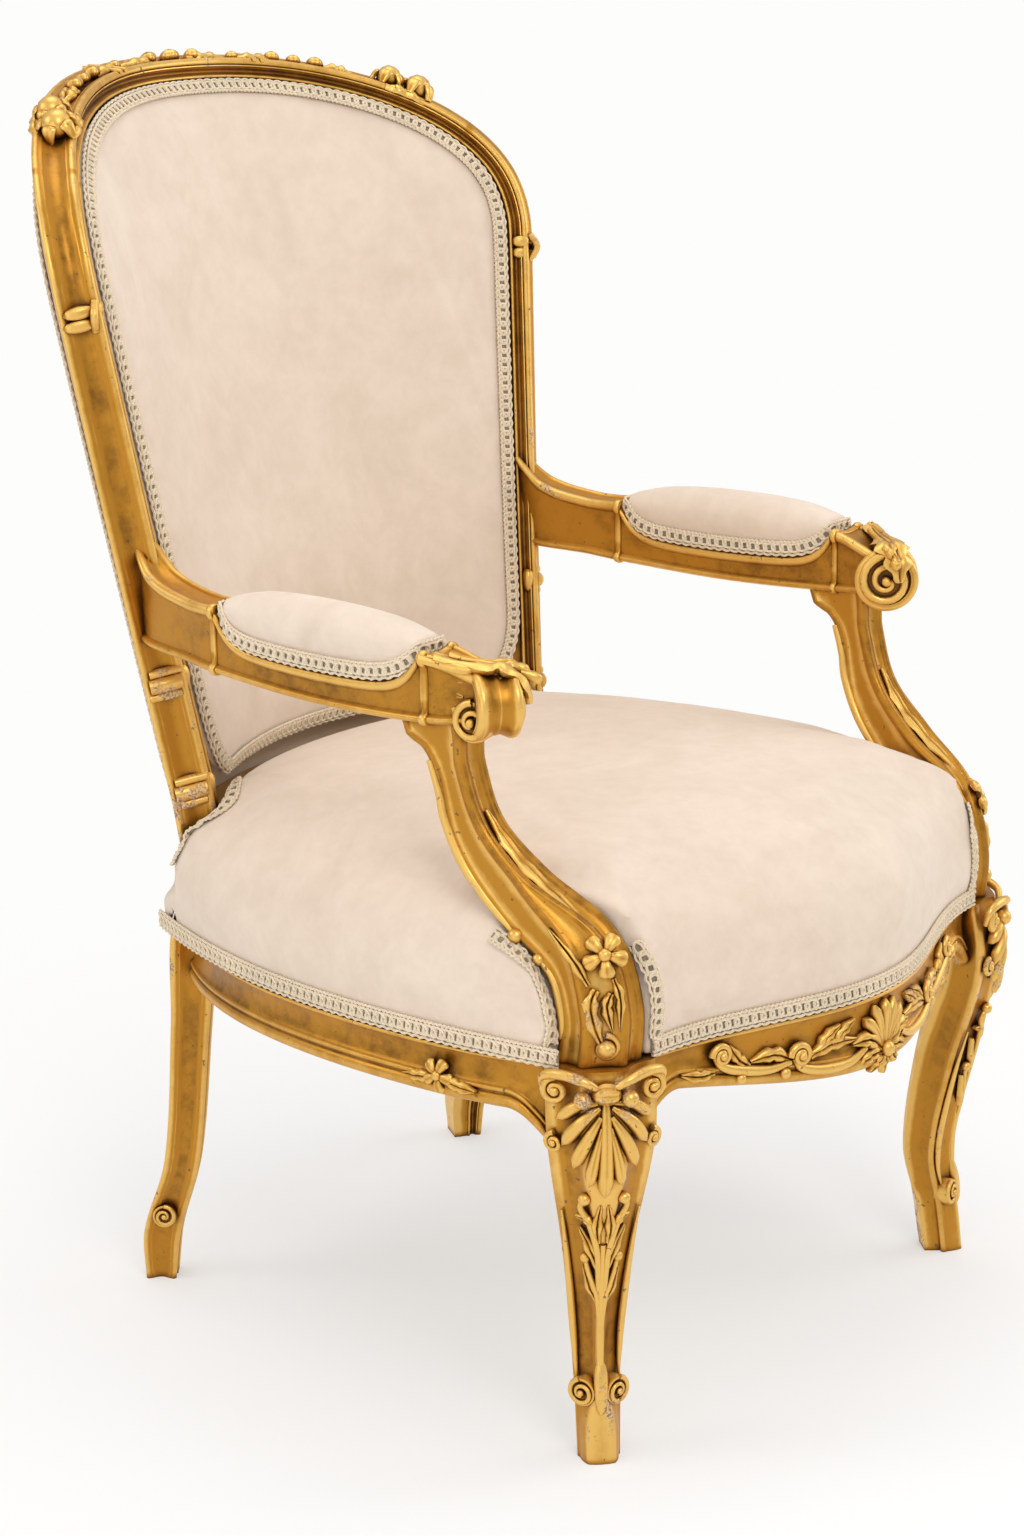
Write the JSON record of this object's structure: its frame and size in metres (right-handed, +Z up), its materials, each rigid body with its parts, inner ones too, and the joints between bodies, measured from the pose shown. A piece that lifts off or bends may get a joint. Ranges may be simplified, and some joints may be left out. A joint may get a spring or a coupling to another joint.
{
  "type": "fauteuil",
  "caption": "Open-arm upholstered armchair with a hollowed arched back, padded scroll arms, a domed sprung seat and cabriole legs in carved gilded wood with cream velvet.",
  "frame": {"origin": "middle of the whole object's box, on the floor between the feet", "axes": "+Z up, the front of the chair faces -Y, +X to the sitter's left"},
  "size_m": [0.6266, 0.7854, 1.0469],
  "materials": {
    "gilded_wood": "antique gilding on carved beech, worn at the edges",
    "raw_beech": "bare sawn beech",
    "cream_velvet": "matt cut-pile velvet",
    "gimp_braid": "looped gimp braid",
    "stuffing": "hair stuffing",
    "linen_canvas": "plain woven canvas",
    "jute_webbing": "plain woven webbing",
    "spring_steel": "coppered wire"
  },
  "bodies": {
    "root": {"arm_gimp_left": "gimp_braid", "arm_gimp_right": "gimp_braid", "arm_left": "gilded_wood", "arm_pad_cover_left": "cream_velvet", "arm_pad_cover_right": "cream_velvet", "arm_pad_stuffing_left": "stuffing", "arm_pad_stuffing_right": "stuffing", "arm_right": "gilded_wood", "arm_support_left": "gilded_wood", "arm_support_right": "gilded_wood", "back_canvas": "linen_canvas", "back_cover": "cream_velvet", "back_gimp": "gimp_braid", "back_stuffing": "stuffing", "corner_block_front_left": "raw_beech", "corner_block_front_right": "raw_beech", "corner_block_rear_left": "raw_beech", "corner_block_rear_right": "raw_beech", "crest_rail": "gilded_wood", "front_leg_left": "gilded_wood", "front_leg_right": "gilded_wood", "front_seat_rail": "gilded_wood", "lower_back_rail": "gilded_wood", "outside_back_cover": "cream_velvet", "outside_back_gimp": "gimp_braid", "rear_seat_rail": "gilded_wood", "rear_upright_left": "gilded_wood", "rear_upright_right": "gilded_wood", "seat_cover": "cream_velvet", "seat_gimp_front": "gimp_braid", "seat_gimp_left": "gimp_braid", "seat_gimp_rear": "gimp_braid", "seat_gimp_right": "gimp_braid", "seat_stuffing": "stuffing", "side_seat_rail_left": "gilded_wood", "side_seat_rail_right": "gilded_wood", "spring_1": "spring_steel", "spring_2": "spring_steel", "spring_3": "spring_steel", "spring_4": "spring_steel", "spring_5": "spring_steel", "spring_canvas": "linen_canvas", "webbing_cross_1": "jute_webbing", "webbing_cross_2": "jute_webbing", "webbing_cross_3": "jute_webbing", "webbing_long_1": "jute_webbing", "webbing_long_2": "jute_webbing", "webbing_long_3": "jute_webbing"}
  },
  "joints": []
}
